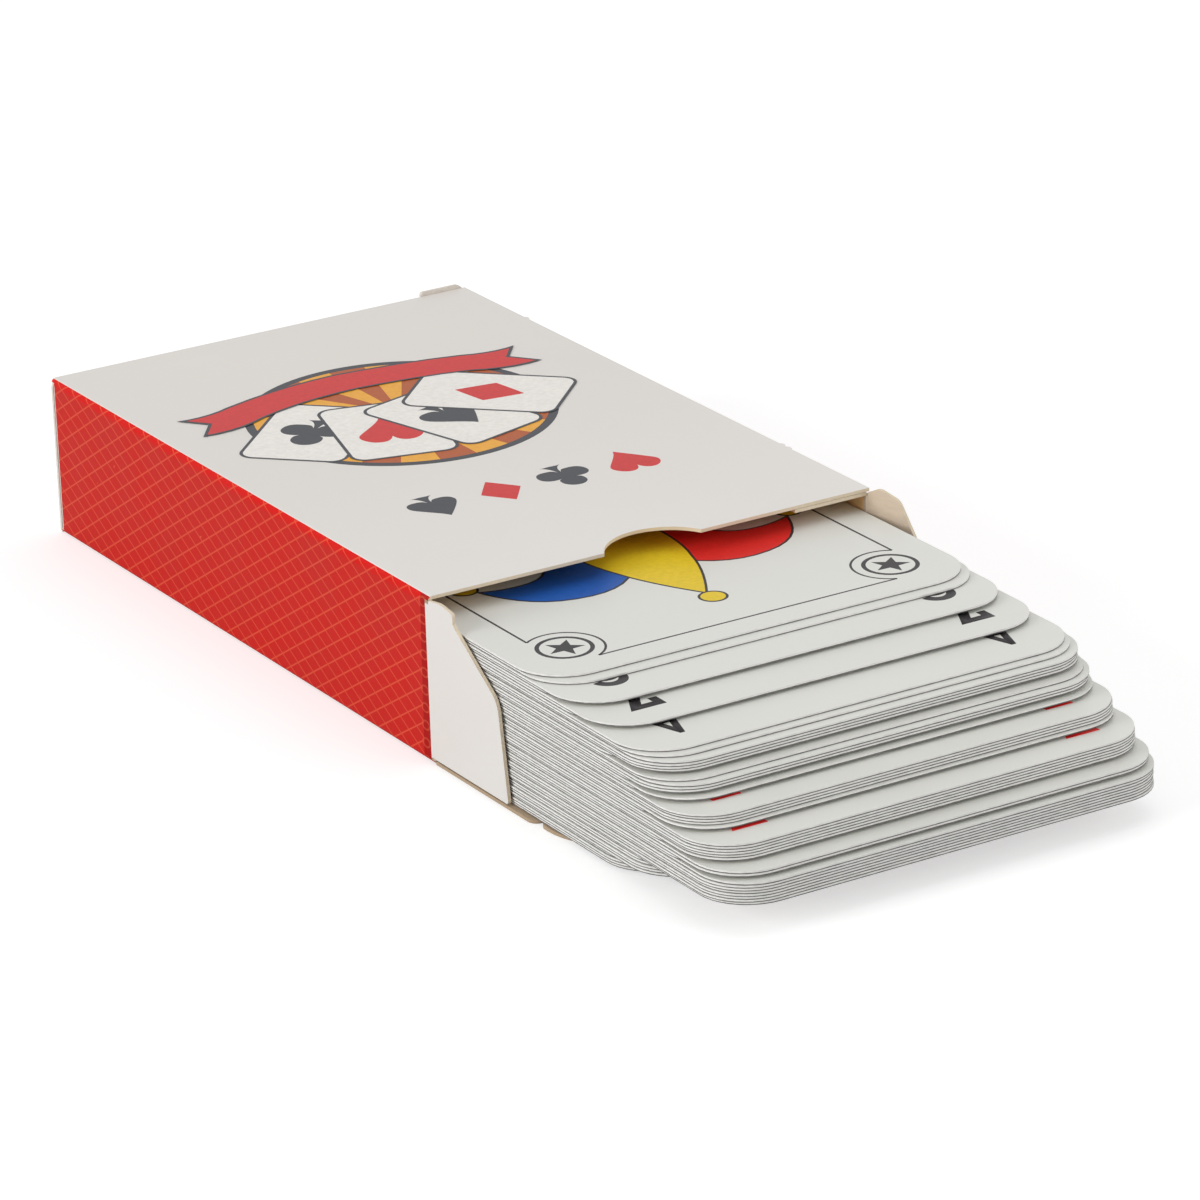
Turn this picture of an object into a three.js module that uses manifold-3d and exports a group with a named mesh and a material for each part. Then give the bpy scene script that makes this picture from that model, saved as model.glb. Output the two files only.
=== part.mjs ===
// A pack of playing cards sliding in steps out of its open tuck carton.
// Millimetres, +Z up. The origin is the centre of the carton's underside, and the open mouth faces -Y.

import * as THREE from 'three';
import { mergeVertices } from 'three/addons/utils/BufferGeometryUtils.js';
import Module from 'manifold-3d';

const wasm = await Module();
wasm.setup();

// Playing cards
const CARD_WIDTH = 56;
const CARD_LENGTH = 87;
const CARD_THICKNESS = 0.3;
const CARD_AIR = 0.012;
const CARD_CORNER = 6;

// How many cards lie flush together, and how far their near edge stands out of the mouth, from the top down
const PACKETS = [
  { count: 1, reach: 23.2 },
  { count: 1, reach: 24.8 },
  { count: 1, reach: 30.3 },
  { count: 1, reach: 28 },
  { count: 1, reach: 36.2 },
  { count: 1, reach: 33 },
  { count: 1, reach: 42.8 },
  { count: 1, reach: 43.8 },
  { count: 4, reach: 45 },
  { count: 1, reach: 40 },
  { count: 1, reach: 46.2 },
  { count: 3, reach: 47.1 },
  { count: 1, reach: 44 },
  { count: 1, reach: 47.8 },
  { count: 1, reach: 45 },
  { count: 4, reach: 51.3 },
  { count: 1, reach: 51.7 },
  { count: 1, reach: 47 },
  { count: 6, reach: 55.4 },
  { count: 1, reach: 50 },
  { count: 2, reach: 57.8 },
  { count: 1, reach: 53 },
  { count: 8, reach: 58.7 },
  { count: 5, reach: 45.5 },
  { count: 4, reach: 40.5 },
];

// The first cards by name, from the top down; after them black and red cards take turns
const FIRST_CARDS = [
  'joker',
  'four_of_hearts',
  'six_of_spades',
  'two_of_hearts',
  'seven_of_spades',
  'six_of_hearts',
  'ace_of_clubs',
];
const RANKS = [
  'ace', 'two', 'three', 'four', 'five', 'six', 'seven', 'eight', 'nine', 'ten', 'jack', 'queen', 'king',
];
const BLACK_SUITS = ['clubs', 'spades'];
const RED_SUITS = ['hearts', 'diamonds'];

// Paperboard carton, sized round the deck
const BOARD = 0.4;
const FOLD_INNER_RADIUS = 0.2;
const SIDE_CLEARANCE = 0.35;
const END_CLEARANCE = 3;
const FLOOR_CLEARANCE = 0.064;
const HEADROOM = 1.1;
const GLUE_FLAP_WIDTH = 10;
const GLUE_LINE = 0.05;
const THUMB_NOTCH_WIDTH = 12.6;
const THUMB_NOTCH_DEPTH = 4;

// A hinged panel starts a slit away from its fold line, and lies over an edge with some play
const CREASE_SLIT = 0.15;
const CREASE_PLAY = 0.05;

// Lid panel and tuck flap, alike at both ends but for the far tuck's sides, which clear the glue seam's corner,
// and the far lid's left ear, which is pressed in below the front panel's face
const LID_SIDE_PLAY = 0.15;
const EAR_WIDTH = 6.1;
const EAR_STAND = 0.5;
const FAR_LEFT_EAR_SINK = 0.2;
const EAR_CORNER = 1.2;
const TUCK_PLAY = 0.35;
const TUCK_DEPTH = 13;
const TUCK_SIDE_PLAY = 0.15;
const FAR_TUCK_SIDE_PLAY = 3;
const TUCK_CORNER = 9;
const TUCK_SHOULDER_CORNER = 1.2;
const LOCK_SLIT = 0.4;

// Dust flaps
const DUST_SET_IN = 0.1;
const DUST_EDGE_PLAY = 0.7;
const DUST_DEPTH = 15.8;
const DUST_TIP_DROP = 7.2;
const DUST_TIP_LEAN = 1.6;
const DUST_TIP_CORNER = 0.4;
const DUST_TIP_BEND = 1.2;
const DUST_SHOULDER = 5.3;
const LOCK_NOTCH = 1.1;
const FAR_DUST_DROP = 3.9;
const RIGHT_FLAP_FLARE = THREE.MathUtils.degToRad(15);

// Facets, and how far a cutter stands past what it cuts
const FOLD_SEGMENTS = 2;
const CORNER_SEGMENTS = 3;
const NOTCH_SEGMENTS = 64;
const CUT_MARGIN = 1;

// Sizes that follow from the driving ones
const CARD_COUNT = PACKETS.reduce((sum, packet) => sum + packet.count, 0);
const CARD_PITCH = CARD_THICKNESS + CARD_AIR;
const CARD_SWAY = SIDE_CLEARANCE / 4;
const DECK_TOP = BOARD + FLOOR_CLEARANCE + CARD_COUNT * CARD_PITCH;
const FOLD_RADIUS = FOLD_INNER_RADIUS + BOARD;
const HALF_WIDTH = CARD_WIDTH / 2 + SIDE_CLEARANCE + BOARD;
const HALF_LENGTH = (CARD_LENGTH + END_CLEARANCE) / 2;
const TUCK_UNDERSIDE = DECK_TOP + HEADROOM;
const TUCK_FOLD = TUCK_UNDERSIDE + BOARD;
const LID_DEPTH = TUCK_UNDERSIDE - CREASE_PLAY;
const GLUE_FLAP_UNDERSIDE = TUCK_FOLD + TUCK_PLAY;
const GLUE_FLAP_TOP = GLUE_FLAP_UNDERSIDE + BOARD;
const CARTON_HEIGHT = GLUE_FLAP_TOP + GLUE_LINE + BOARD;
const LID_FOLD = HALF_LENGTH + BOARD + CREASE_PLAY;
const LID_HALF_WIDTH = HALF_WIDTH - LID_SIDE_PLAY;
const SLIT_END = LID_HALF_WIDTH - EAR_WIDTH;
const EAR_TOP = CARTON_HEIGHT + EAR_STAND;
const FAR_LEFT_EAR_TOP = CARTON_HEIGHT - FAR_LEFT_EAR_SINK;
const TUCK_HALF_WIDTH = HALF_WIDTH - BOARD - TUCK_SIDE_PLAY;
const FAR_TUCK_HALF_WIDTH = HALF_WIDTH - BOARD - FAR_TUCK_SIDE_PLAY;
const TUCK_SHOULDER = EAR_TOP - TUCK_FOLD + LOCK_SLIT;
const DUST_FOLD = HALF_LENGTH - DUST_SET_IN;
const RIGHT_DUST_TOP = GLUE_FLAP_UNDERSIDE - CREASE_PLAY;
const LEFT_DUST_TOP = CARTON_HEIGHT - BOARD - CREASE_PLAY;
const SIDE_WALL_END = DUST_FOLD - FOLD_RADIUS;

// Shapes

function extrude(shape, depth, curveSegments) {
  return new THREE.ExtrudeGeometry(shape, { depth, curveSegments, bevelEnabled: false });
}

// A closed outline through corners [x, y, cut], where a cut rounds the corner off over that length.
// Two cuts on one short edge share it.
function roundedOutline(corners) {
  const outline = new THREE.Shape();
  corners.forEach(([x, y, cut = 0], i) => {
    const corner = new THREE.Vector2(x, y);
    const ways = [corners.at(i - 1), corners[(i + 1) % corners.length]].map(([nextX, nextY, nextCut = 0]) => {
      const way = new THREE.Vector2(nextX - x, nextY - y);
      return { way, room: way.length() * cut / (cut + nextCut || 1) };
    });
    const length = Math.min(cut, ...ways.map(({ room }) => room));
    const [start, end] = ways.map(({ way }) => corner.clone().add(way.setLength(length)));
    if (i === 0) {
      outline.moveTo(start.x, start.y);
    } else {
      outline.lineTo(start.x, start.y);
    }
    if (length > 0) {
      outline.quadraticCurveTo(x, y, end.x, end.y);
    }
  });
  outline.closePath();
  return outline;
}

// The same outline with its first coordinate counted inwards from the left (-1) or right (1) side of the carton
function fromSide(shape, side, curveSegments) {
  const { shape: points } = shape.extractPoints(curveSegments);
  return new THREE.Shape(points.map((point) => new THREE.Vector2(side * (HALF_WIDTH - point.x), point.y)));
}

// Solids, for the cuts and joins

function solidOf(geometry) {
  geometry.deleteAttribute('normal');
  geometry.deleteAttribute('uv');
  const merged = mergeVertices(geometry, 1e-5);
  return new wasm.Manifold(new wasm.Mesh({
    numProp: 3,
    vertProperties: new Float32Array(merged.attributes.position.array),
    triVerts: new Uint32Array(merged.index.array),
  }));
}

function geometryOf(solid) {
  const mesh = solid.getMesh();
  const geometry = new THREE.BufferGeometry();
  geometry.setAttribute('position', new THREE.BufferAttribute(mesh.vertProperties, 3));
  geometry.setIndex(new THREE.BufferAttribute(mesh.triVerts, 1));
  const faceted = geometry.toNonIndexed();
  faceted.computeVertexNormals();
  return faceted;
}

// Carton sleeve: one strip of board folded round four panels, its glue flap under the front panel's raw edge

function sleeveProfile() {
  const left = -HALF_WIDTH + FOLD_RADIUS;
  const right = HALF_WIDTH - FOLD_RADIUS;
  const top = CARTON_HEIGHT - FOLD_RADIUS;
  const glueFold = GLUE_FLAP_TOP - FOLD_RADIUS;
  const glueEnd = HALF_WIDTH - GLUE_FLAP_WIDTH;
  const quarter = Math.PI / 2;
  const strip = new THREE.Shape();
  strip.moveTo(HALF_WIDTH, CARTON_HEIGHT);
  strip.absarc(left, top, FOLD_RADIUS, quarter, 2 * quarter, false);
  strip.absarc(left, FOLD_RADIUS, FOLD_RADIUS, 2 * quarter, 3 * quarter, false);
  strip.absarc(right, FOLD_RADIUS, FOLD_RADIUS, 3 * quarter, 4 * quarter, false);
  strip.absarc(right, glueFold, FOLD_RADIUS, 0, quarter, false);
  strip.lineTo(glueEnd, GLUE_FLAP_TOP);
  strip.lineTo(glueEnd, GLUE_FLAP_UNDERSIDE);
  strip.absarc(right, glueFold, FOLD_INNER_RADIUS, quarter, 0, true);
  strip.absarc(right, FOLD_RADIUS, FOLD_INNER_RADIUS, 4 * quarter, 3 * quarter, true);
  strip.absarc(left, FOLD_RADIUS, FOLD_INNER_RADIUS, 3 * quarter, 2 * quarter, true);
  strip.absarc(left, top, FOLD_INNER_RADIUS, 2 * quarter, quarter, true);
  strip.lineTo(HALF_WIDTH, CARTON_HEIGHT - BOARD);
  strip.closePath();
  return strip;
}

function sleeveTube() {
  const tube = extrude(sleeveProfile(), 2 * HALF_LENGTH, FOLD_SEGMENTS);
  return solidOf(tube.rotateX(Math.PI / 2).translate(0, HALF_LENGTH, 0));
}

// The half-moon at the mouth that lets a thumb push the cards out
function thumbNotch() {
  const radius = (THUMB_NOTCH_WIDTH ** 2 / 4 + THUMB_NOTCH_DEPTH ** 2) / (2 * THUMB_NOTCH_DEPTH);
  const cutter = new THREE.CylinderGeometry(radius, radius, BOARD + 2 * CUT_MARGIN, NOTCH_SEGMENTS);
  cutter.rotateX(Math.PI / 2);
  cutter.translate(0, THUMB_NOTCH_DEPTH - HALF_LENGTH - radius, CARTON_HEIGHT - BOARD / 2);
  return solidOf(cutter);
}

// Side walls stop short of the front and back panels, so that the dust flaps fold in between these
function sideWallRelief(side, end) {
  const wallTop = (side < 0 ? CARTON_HEIGHT : GLUE_FLAP_TOP) - FOLD_RADIUS;
  const width = FOLD_RADIUS + CUT_MARGIN;
  const length = HALF_LENGTH + CUT_MARGIN - SIDE_WALL_END;
  const cutter = new THREE.BoxGeometry(width, length, wallTop - FOLD_RADIUS);
  cutter.translate(
    side * (HALF_WIDTH - FOLD_RADIUS + width / 2),
    end * (SIDE_WALL_END + length / 2),
    (wallTop + FOLD_RADIUS) / 2,
  );
  return solidOf(cutter);
}

// Dust flap outline from its root out to the tip, with the notch that a lid's lock slit catches
function dustFlapOutline(root, top) {
  return roundedOutline([
    [root, DUST_EDGE_PLAY],
    [DUST_DEPTH, DUST_EDGE_PLAY, DUST_TIP_CORNER],
    [DUST_DEPTH - DUST_TIP_LEAN, top - DUST_TIP_DROP, DUST_TIP_BEND],
    [DUST_SHOULDER + LOCK_NOTCH / 2, top - 1.5 * LOCK_NOTCH],
    [DUST_SHOULDER, top - LOCK_NOTCH],
    [DUST_SHOULDER, top, DUST_TIP_CORNER],
    [root, top],
  ]);
}

// A far dust flap: the side wall carried round a fold and across the closed end
function farDustFlap(side) {
  const wallStart = SIDE_WALL_END - CUT_MARGIN;
  const wall = new THREE.Shape();
  wall.moveTo(0, wallStart);
  wall.absarc(FOLD_RADIUS, SIDE_WALL_END, FOLD_RADIUS, Math.PI, Math.PI / 2, true);
  wall.lineTo(DUST_DEPTH + CUT_MARGIN, DUST_FOLD);
  wall.lineTo(DUST_DEPTH + CUT_MARGIN, DUST_FOLD - BOARD);
  wall.absarc(FOLD_RADIUS, SIDE_WALL_END, FOLD_INNER_RADIUS, Math.PI / 2, Math.PI, false);
  wall.lineTo(BOARD, wallStart);
  wall.closePath();
  const folded = extrude(fromSide(wall, side, FOLD_SEGMENTS), CARTON_HEIGHT, FOLD_SEGMENTS);
  const outline = dustFlapOutline(-CUT_MARGIN, RIGHT_DUST_TOP - FAR_DUST_DROP);
  const window = extrude(fromSide(outline, side, CORNER_SEGMENTS), HALF_LENGTH, CORNER_SEGMENTS);
  window.rotateX(Math.PI / 2).translate(0, HALF_LENGTH + CUT_MARGIN, 0);
  return solidOf(folded).intersect(solidOf(window));
}

function cartonSleeve() {
  let sleeve = sleeveTube().subtract(thumbNotch());
  for (const side of [-1, 1]) {
    sleeve = sleeve.subtract(sideWallRelief(side, -1)).subtract(sideWallRelief(side, 1));
    sleeve = sleeve.add(farDustFlap(side));
  }
  return geometryOf(sleeve);
}

// Hinged panels, drawn flat with y out from the fold line and their outer face at z = 0

function lidPanel(leftEarTop) {
  const outline = roundedOutline([
    [-LID_HALF_WIDTH, CREASE_SLIT],
    [LID_HALF_WIDTH, CREASE_SLIT],
    [LID_HALF_WIDTH, EAR_TOP, EAR_CORNER],
    [SLIT_END, EAR_TOP],
    [SLIT_END, LID_DEPTH],
    [-SLIT_END, LID_DEPTH],
    [-SLIT_END, leftEarTop],
    [-LID_HALF_WIDTH, leftEarTop, EAR_CORNER],
  ]);
  return extrude(outline, BOARD, CORNER_SEGMENTS);
}

function tuckFlap(halfWidth) {
  const neck = SLIT_END - CREASE_SLIT;
  const outline = roundedOutline([
    [-neck, CREASE_SLIT],
    [neck, CREASE_SLIT],
    [neck, TUCK_SHOULDER],
    [halfWidth, TUCK_SHOULDER, TUCK_SHOULDER_CORNER],
    [halfWidth, TUCK_DEPTH, TUCK_CORNER],
    [-halfWidth, TUCK_DEPTH, TUCK_CORNER],
    [-halfWidth, TUCK_SHOULDER, TUCK_SHOULDER_CORNER],
    [-neck, TUCK_SHOULDER],
  ]);
  return extrude(outline, BOARD, CORNER_SEGMENTS);
}

// A near dust flap stands in its side wall's plane, straight out of the mouth
function nearDustFlap(side) {
  const top = side < 0 ? LEFT_DUST_TOP : RIGHT_DUST_TOP;
  const flap = extrude(dustFlapOutline(CREASE_SLIT, top), BOARD, CORNER_SEGMENTS);
  const outwards = new THREE.Vector3(0, -1, 0);
  const upwards = new THREE.Vector3(0, 0, 1);
  const across = new THREE.Vector3(-1, 0, 0);
  flap.applyMatrix4(new THREE.Matrix4().makeBasis(outwards, upwards, across));
  return flap.translate(side < 0 ? BOARD : 0, 0, 0);
}

// Cards

function cardOutline() {
  const x = CARD_WIDTH / 2 - CARD_CORNER;
  const y = CARD_LENGTH / 2 - CARD_CORNER;
  const quarter = Math.PI / 2;
  const outline = new THREE.Shape();
  outline.absarc(x, y, CARD_CORNER, 0, quarter, false);
  outline.absarc(-x, y, CARD_CORNER, quarter, 2 * quarter, false);
  outline.absarc(-x, -y, CARD_CORNER, 2 * quarter, 3 * quarter, false);
  outline.absarc(x, -y, CARD_CORNER, 3 * quarter, 4 * quarter, false);
  outline.closePath();
  return outline;
}

function suitCards(suits) {
  const cards = RANKS.flatMap((rank) => suits.map((suit) => `${rank}_of_${suit}`));
  return cards.filter((card) => !FIRST_CARDS.includes(card));
}

function deckNames() {
  const black = suitCards(BLACK_SUITS);
  const red = suitCards(RED_SUITS);
  const rest = black.flatMap((card, i) => [card, red[i]]);
  return [...FIRST_CARDS, ...rest].map((card, i) => `card_${String(i + 1).padStart(2, '0')}_${card}`);
}

function deckReaches() {
  return PACKETS.flatMap((packet) => new Array(packet.count).fill(packet.reach));
}

// Assembly

function sheet(name, geometry, color, roughness) {
  const material = new THREE.MeshStandardMaterial({ color, roughness, metalness: 0 });
  const mesh = new THREE.Mesh(geometry, material);
  mesh.name = name;
  return mesh;
}

const COATED_WHITE = 0xdbd6d2;
const BARE_BOARD = 0xcbbda9;
const CARD_STOCK = 0xe4e3dd;
const COATED_ROUGHNESS = 0.45;
const BARE_ROUGHNESS = 0.85;

const cardGame = new THREE.Group();
cardGame.add(sheet('carton_sleeve', cartonSleeve(), COATED_WHITE, COATED_ROUGHNESS));

// Near lid, open and flat on the table, with its tuck flap straight on from it
const openLid = new THREE.Group();
openLid.position.set(0, -LID_FOLD, 0);
openLid.rotation.z = Math.PI;
openLid.add(sheet('closing_lid', lidPanel(EAR_TOP), BARE_BOARD, BARE_ROUGHNESS));
const openTuck = sheet('closing_tuck_flap', tuckFlap(TUCK_HALF_WIDTH), BARE_BOARD, BARE_ROUGHNESS);
openTuck.position.y = TUCK_FOLD;
openLid.add(openTuck);
cardGame.add(openLid);

// Far lid, folded up to close the bottom end, with its tuck flap folded in under the front panel
const closedLid = new THREE.Group();
closedLid.position.set(0, LID_FOLD, 0);
closedLid.rotation.x = Math.PI / 2;
closedLid.add(sheet('bottom_lid', lidPanel(FAR_LEFT_EAR_TOP), COATED_WHITE, COATED_ROUGHNESS));
const farTuck = tuckFlap(FAR_TUCK_HALF_WIDTH);
const closedTuck = sheet('bottom_tuck_flap', farTuck, COATED_WHITE, COATED_ROUGHNESS);
closedTuck.position.y = TUCK_FOLD;
closedTuck.rotation.x = Math.PI / 2;
closedLid.add(closedTuck);
cardGame.add(closedLid);

// Near dust flaps, the left one straight ahead and the right one flared out
const leftFlap = sheet('dust_flap_left', nearDustFlap(-1), COATED_WHITE, COATED_ROUGHNESS);
leftFlap.position.set(-HALF_WIDTH, -DUST_FOLD, 0);
cardGame.add(leftFlap);
const rightFlap = sheet('dust_flap_right', nearDustFlap(1), COATED_WHITE, COATED_ROUGHNESS);
rightFlap.position.set(HALF_WIDTH, -DUST_FOLD, 0);
rightFlap.rotation.z = RIGHT_FLAP_FLARE;
cardGame.add(rightFlap);

// The deck, each card with a little sideways play
const names = deckNames();
deckReaches().forEach((reach, i) => {
  const card = sheet(names[i], extrude(cardOutline(), CARD_THICKNESS, CORNER_SEGMENTS), CARD_STOCK, COATED_ROUGHNESS);
  card.position.set(
    CARD_SWAY * Math.sin(i * i),
    CARD_LENGTH / 2 - HALF_LENGTH - reach,
    DECK_TOP - i * CARD_PITCH - CARD_THICKNESS,
  );
  cardGame.add(card);
});

export default cardGame;
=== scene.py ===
"""Looks of a card game: a deck of playing cards that slides in steps out of an open tuck carton."""

from math import atan2, cos, pi, radians, sin, sqrt

import bmesh
import bpy
from bpy.props import FloatProperty, FloatVectorProperty, PointerProperty
from mathutils import Matrix, Vector
from mathutils.geometry import interpolate_bezier


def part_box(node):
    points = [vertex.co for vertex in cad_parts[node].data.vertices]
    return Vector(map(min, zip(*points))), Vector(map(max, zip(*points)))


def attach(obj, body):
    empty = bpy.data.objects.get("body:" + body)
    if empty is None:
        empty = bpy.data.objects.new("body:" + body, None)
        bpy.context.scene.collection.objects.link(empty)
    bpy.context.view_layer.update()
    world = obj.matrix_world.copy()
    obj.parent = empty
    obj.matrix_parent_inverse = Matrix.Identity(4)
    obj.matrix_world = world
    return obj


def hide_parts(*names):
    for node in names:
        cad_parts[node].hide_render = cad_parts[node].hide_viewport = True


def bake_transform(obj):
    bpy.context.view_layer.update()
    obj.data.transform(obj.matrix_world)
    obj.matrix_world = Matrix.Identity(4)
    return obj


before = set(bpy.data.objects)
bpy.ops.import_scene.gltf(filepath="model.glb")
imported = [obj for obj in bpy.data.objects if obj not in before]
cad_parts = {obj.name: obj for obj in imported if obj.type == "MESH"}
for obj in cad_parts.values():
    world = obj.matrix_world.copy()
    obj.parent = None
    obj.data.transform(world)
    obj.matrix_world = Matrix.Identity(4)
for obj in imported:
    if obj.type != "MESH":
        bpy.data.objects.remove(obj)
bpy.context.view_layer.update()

bl_info = {
    "name": "Card Game",
    "version": (1, 0, 0),
    "blender": (4, 5, 0),
    "location": "3D View > Sidebar > Card Game",
    "description": "Dresses a deck of playing cards and its tuck carton",
    "category": "Object",
}

MM = 0.001
NEAR = 1e-6
SQUARE = pi / 2
HALF_WIDTH, HALF_LENGTH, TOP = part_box("carton_sleeve")[1]
DUST_ROOT_TOP = TOP - 0.9 * MM
NET_ANGLE = radians(30.5)

LID_DEPTH = 18.5 * MM
LID_HALF = HALF_WIDTH - 0.15 * MM
NEAR_EAR = LID_DEPTH + 2.15 * MM
FAR_EARS = (LID_DEPTH + 1 * MM, LID_DEPTH + 1.7 * MM)
SLIT = 22.5 * MM
TUCK_NECK = SLIT - 0.15 * MM
NEAR_TUCK_REACH, NEAR_TUCK_HALF = 13 * MM, HALF_WIDTH - 0.55 * MM
FAR_TUCK_REACH, FAR_TUCK_HALF = 12.55 * MM, HALF_WIDTH - 3.4 * MM

CARDS = sorted(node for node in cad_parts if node.startswith("card_"))
FACE, EDGE, CORE_AND_GAP_SHADE, BACK, INK = range(5)
RANK_SIGNS = {
    "ace": "A", "two": "2", "three": "3", "four": "4", "five": "5", "six": "6", "seven": "7",
    "eight": "8", "nine": "9", "ten": "10", "jack": "J", "queen": "Q", "king": "K",
}
PRINT_INKS = ("charcoal", "amber", "brown", "red", "paper")
CHARCOAL, AMBER, BROWN, RED, PAPER = range(5)
LAYER = 0.008 * MM
LOW_INK = 0.75
RED_SUITS = ("hearts", "diamonds")
LAMPS = {
    "key": ((-1.22, 0.0, 0.42), 0.65),
    "front": ((0.9, -0.9, 0.4), 0.9),
    "top": ((0.25, 0.1, 1.1), 1.0),
}


def srgb(red, green, blue):
    """A screen colour of 0 to 255 as linear light."""
    parts = [value / 255 for value in (red, green, blue)]
    return tuple(part / 12.92 if part < 0.04045 else ((part + 0.055) / 1.055) ** 2.4 for part in parts)


def length(name, note, millimetres):
    """A length property, set in millimetres."""
    return FloatProperty(name=name, description=note, default=millimetres * MM, unit="LENGTH", precision=5)


def colour(name, note, screen):
    """A colour property, set as a screen colour."""
    return FloatVectorProperty(name=name, description=note, default=srgb(*screen), subtype="COLOR", size=3)


def power(name, note, watts):
    """The power of a lamp."""
    return FloatProperty(name=name, description=note, default=watts, unit="POWER")


class CartonSettings(bpy.types.PropertyGroup):
    """Sizes and colours of the paperboard carton."""

    board: length("Board", "Thickness of the paperboard", 0.4)
    fold: length("Fold radius", "Outer radius of the sleeve's folds", 0.6)
    lid_fold: length("Lid fold radius", "Outer radius of the lids' folds", 0.45)
    glue_flap: length("Glue flap", "Width of the glue flap under the front panel", 10)
    glue_drop: length("Glue flap drop", "Depth of the glue flap below the front panel's face", 0.45)
    notch_width: length("Thumb notch width", "Width of the thumb notch at the mouth", 12.6)
    notch_depth: length("Thumb notch depth", "Depth of the thumb notch", 4)
    wall_end: length("Wall end", "From the sleeve's end to where the side walls stop", 0.7)
    crease: length("Crease", "Width of a pressed crease", 0.5)
    crease_bead: length("Crease bead", "Height of a crease's bead on the inside", 0.1)
    net: length("Net", "Spacing of the fine lines on the printed sides", 1.8)
    white: colour("Coated white", "Coated outside of the board", (224, 219, 213))
    red: colour("Red sides", "Ground of the printed sides", (200, 32, 24))
    bright_red: colour("Bright red", "Purer red along the fold at the top of the sides", (214, 14, 4))
    line: colour("Lattice", "Thin lines on the printed sides", (236, 112, 76))
    bare: colour("Bare board", "Uncoated inside of the dust flaps", (212, 194, 172))
    # Painted shade: a darker copy of the bare board for the open lid and its tuck flap, which lie in shade
    # under the dust flap; their cut edges take it too.
    near_inside_painted_shade: colour("Near lid inside", "Uncoated inside of the open lid", (183, 160, 133))
    # Painted light: the bare board made brighter and warmer inside the sleeve and on the far flaps' insides,
    # for warm light through the board in the mouth.
    inner: colour("Inner walls", "Uncoated inside of the sleeve", (242, 203, 146))
    far_inside: colour("Far lid inside", "Paler inside of the far lid", (226, 217, 207))
    cut: colour("Cut edge", "Raw cut edges of the board", (228, 212, 186))


class CardSettings(bpy.types.PropertyGroup):
    """Sizes and colours of the playing cards."""

    corner: length("Corner", "Radius of a card's corners", 6)
    # Painted shade in part: the darker ply at the foot of each card's edge stands for the card's grey core
    # and for the shadow in the gap under the card.
    core: length("Core", "Height of the darker ply at a card's edge", 0.115)
    ink: length("Ink", "Height of the printed ink", 0.004)
    index_height: length("Index height", "Cap height of the index signs", 6)
    index_side: length("Index side", "From a card's side to the middle of its index", 7)
    index_end: length("Index end", "From a card's end to the top of its index", 3.6)
    index_width: length("Index width", "Width of a broad index sign", 4.4)
    index_stroke: length("Index stroke", "Width of an index sign's strokes", 1.1)
    index_bold: length("Index weight", "Thickening of the index strokes on each side", 0.2)
    index_pip: length("Index pip", "Height of the small pip under an index", 4.4)
    pip: length("Pip", "Height of a pip in the field of a card", 9.5)
    back_border: length("Back border", "White border round the printed back", 4.5)
    face: colour("Face", "Coated face of a card", (226, 226, 220))
    edge: colour("Edge", "Cut edge of a card", (236, 235, 231))
    # Painted shade in part: this grey is the card's core and the shadow in the gap under each card.
    ply: colour("Ply", "Darker ply at a card's edge", (116, 115, 115))
    black: colour("Black ink", "Ink of clubs and spades", (52, 49, 51))
    red: colour("Red ink", "Ink of hearts and diamonds", (222, 46, 42))
    blue: colour("Blue ink", "Blue of the joker", (36, 92, 176))
    gold: colour("Gold ink", "Yellow of the joker and the court cards", (232, 200, 40))


class PrintSettings(bpy.types.PropertyGroup):
    """Sizes and colours of the print on the front panel."""

    disc: length("Disc", "Radius of the sunburst disc", 18.5)
    small_card_width: length("Small card width", "Width of a printed card in the fan", 13)
    small_card_length: length("Small card length", "Length of a printed card in the fan", 19)
    row_pip: length("Row pip", "Height of the pips in the row by the mouth", 7)
    outline: length("Outline", "Width of the drawn outlines", 0.4)
    charcoal: colour("Charcoal", "Outlines and dark areas", (58, 60, 66))
    amber: colour("Amber", "Light rays of the disc", (236, 168, 52))
    brown: colour("Brown", "Dark rays of the disc", (176, 84, 28))
    red: colour("Red", "Ribbon and red pips", (206, 40, 40))
    paper: colour("Paper", "Printed white areas", (238, 234, 228))


class StageSettings(bpy.types.PropertyGroup):
    """Floor, lamps and camera."""

    floor: colour("Floor", "Pale floor", (205, 205, 205))
    sky: FloatProperty(name="Room light", description="Even light from all round", default=0.5)
    key: power("Key lamp", "Power of the large lamp at the left", 9.1)
    front: power("Front lamp", "Power of the lamp at the right", 4.6)
    top: power("Top lamp", "Power of the large lamp above", 2.4)
    lens: FloatProperty(name="Lens", description="Focal length in millimetres", default=183.3)


class CardGameSettings(bpy.types.PropertyGroup):
    """All settings of the card game."""

    carton: PointerProperty(type=CartonSettings)
    cards: PointerProperty(type=CardSettings)
    front: PointerProperty(type=PrintSettings)
    stage: PointerProperty(type=StageSettings)


# Materials


def rgba(shade, factor=1.0):
    """A colour with its alpha, made darker or lighter by a factor."""
    return (*[min(part * factor, 1.0) for part in shade], 1.0)


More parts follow.
